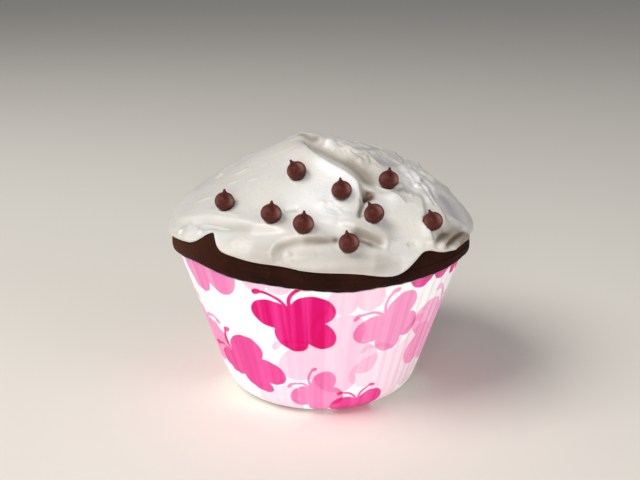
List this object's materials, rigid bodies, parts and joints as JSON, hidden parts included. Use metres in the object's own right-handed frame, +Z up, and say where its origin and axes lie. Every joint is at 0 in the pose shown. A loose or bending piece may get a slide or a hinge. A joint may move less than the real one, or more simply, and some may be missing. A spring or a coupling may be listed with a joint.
{
  "type": "cupcake",
  "caption": "Chocolate cupcake in a round fluted paper case, capped with spread white frosting and dotted with chocolate drops.",
  "frame": {"origin": "centre of the flat underside of the paper case", "axes": "+Z up along the axis of the case, -Y towards the front, +X to the right of the front"},
  "size_m": [0.0772, 0.0773, 0.0652],
  "materials": {
    "paper": "matt printed paper",
    "sponge": "matt baked chocolate sponge",
    "frosting": "soft satin buttercream",
    "chocolate": "satin milk chocolate"
  },
  "bodies": {
    "root": {"paper_case": "paper", "cake": "sponge", "frosting": "frosting", "drop_1": "chocolate", "drop_2": "chocolate", "drop_3": "chocolate", "drop_4": "chocolate", "drop_5": "chocolate", "drop_6": "chocolate", "drop_7": "chocolate", "drop_8": "chocolate", "drop_9": "chocolate"}
  },
  "joints": []
}
